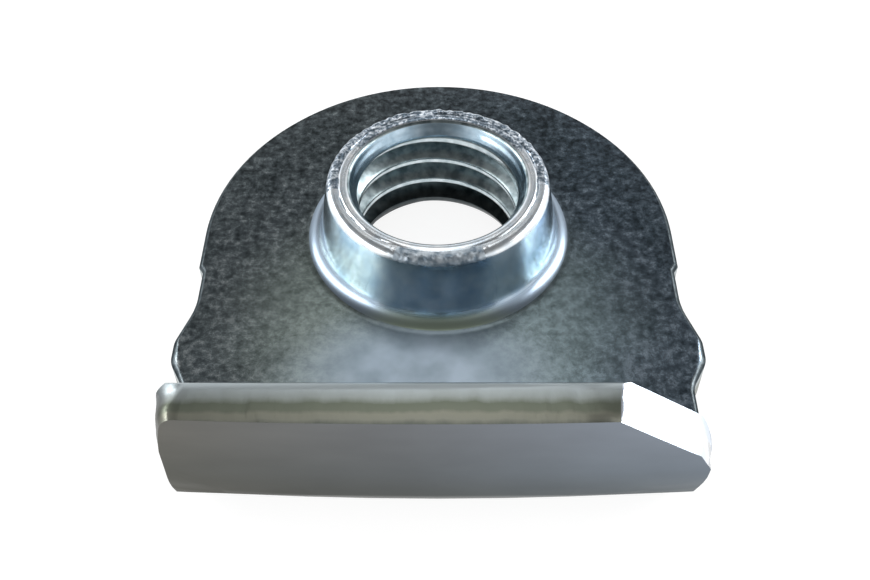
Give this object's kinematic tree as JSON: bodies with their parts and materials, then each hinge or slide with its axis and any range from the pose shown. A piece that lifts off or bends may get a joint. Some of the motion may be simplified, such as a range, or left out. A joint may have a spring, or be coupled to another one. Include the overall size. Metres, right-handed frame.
{
  "type": "threaded insert plate",
  "caption": "Stamped steel plate with a round head, a threaded collar drawn up from it and a flange folded up along its straight end, one corner cut",
  "frame": {"origin": "on the collar's axis, in the plane of the plate's upper side; the sheet lies below it", "axes": "+Z is the way the collar stands, and the screw leaves toward -Z; +Y runs toward the round head, and the flange closes the -Y end; +X is the side of the flange's cut corner"},
  "size_m": [0.0264, 0.0286, 0.0075],
  "materials": {
    "zinc_plated_steel": "bright zinc plate over cold-stamped steel, with fine speckle, bright sheared edges and a rough rim"
  },
  "bodies": {
    "root": {"insert_plate": "zinc_plated_steel"}
  },
  "joints": []
}
